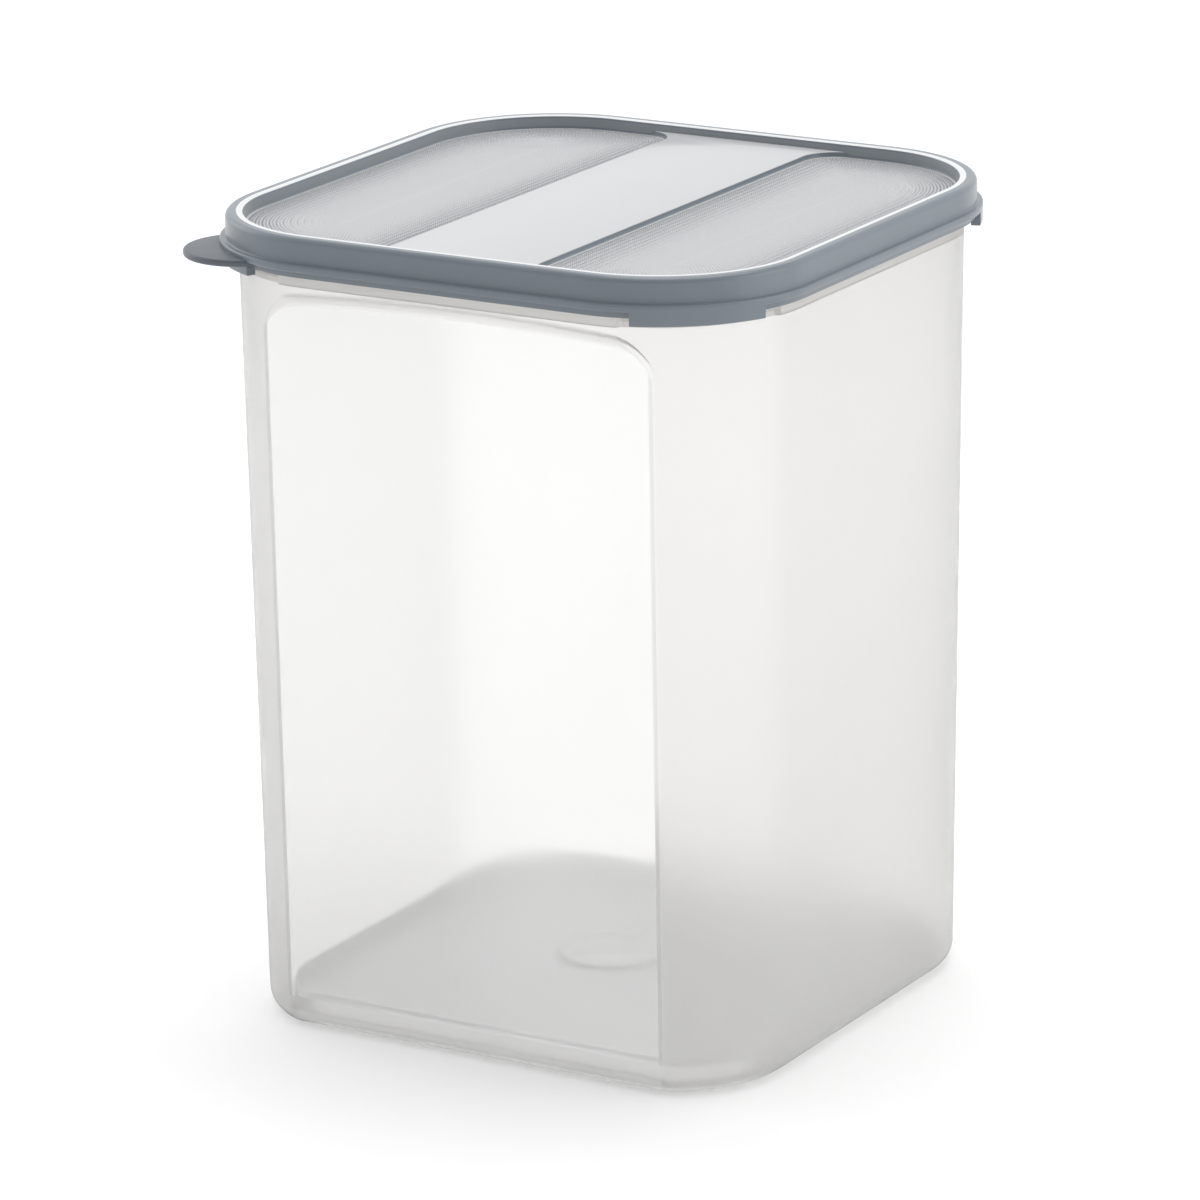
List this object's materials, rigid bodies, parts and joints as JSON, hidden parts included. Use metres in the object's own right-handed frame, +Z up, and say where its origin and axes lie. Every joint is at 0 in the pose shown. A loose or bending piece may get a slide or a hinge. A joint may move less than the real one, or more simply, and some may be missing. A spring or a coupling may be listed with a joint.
{
  "type": "food storage canister",
  "caption": "Tall square kitchen canister with rounded corners, a frosted tub with a flat clear front window, and a press-on lid with a corner pull tab.",
  "frame": {"origin": "under the middle of the foot, on the surface that the canister stands on", "axes": "+Z up to the lid; -Y out through the clear front window; the pull tab points to -X -Y"},
  "size_m": [0.1758, 0.1758, 0.2271],
  "materials": {
    "frosted_plastic": "natural frosted polypropylene, polished clear on the flat front window",
    "lid_plastic": "smooth translucent blue-grey seal, with fine woven relief on its two recessed panels"
  },
  "bodies": {
    "container": {"container": "frosted_plastic"},
    "lid": {"lid": "lid_plastic"}
  },
  "joints": [
    {"name": "lid_lift", "type": "slide", "parent": "container", "child": "lid", "axis": [0, 0, 1], "range_m": [0, 0.2]}
  ]
}
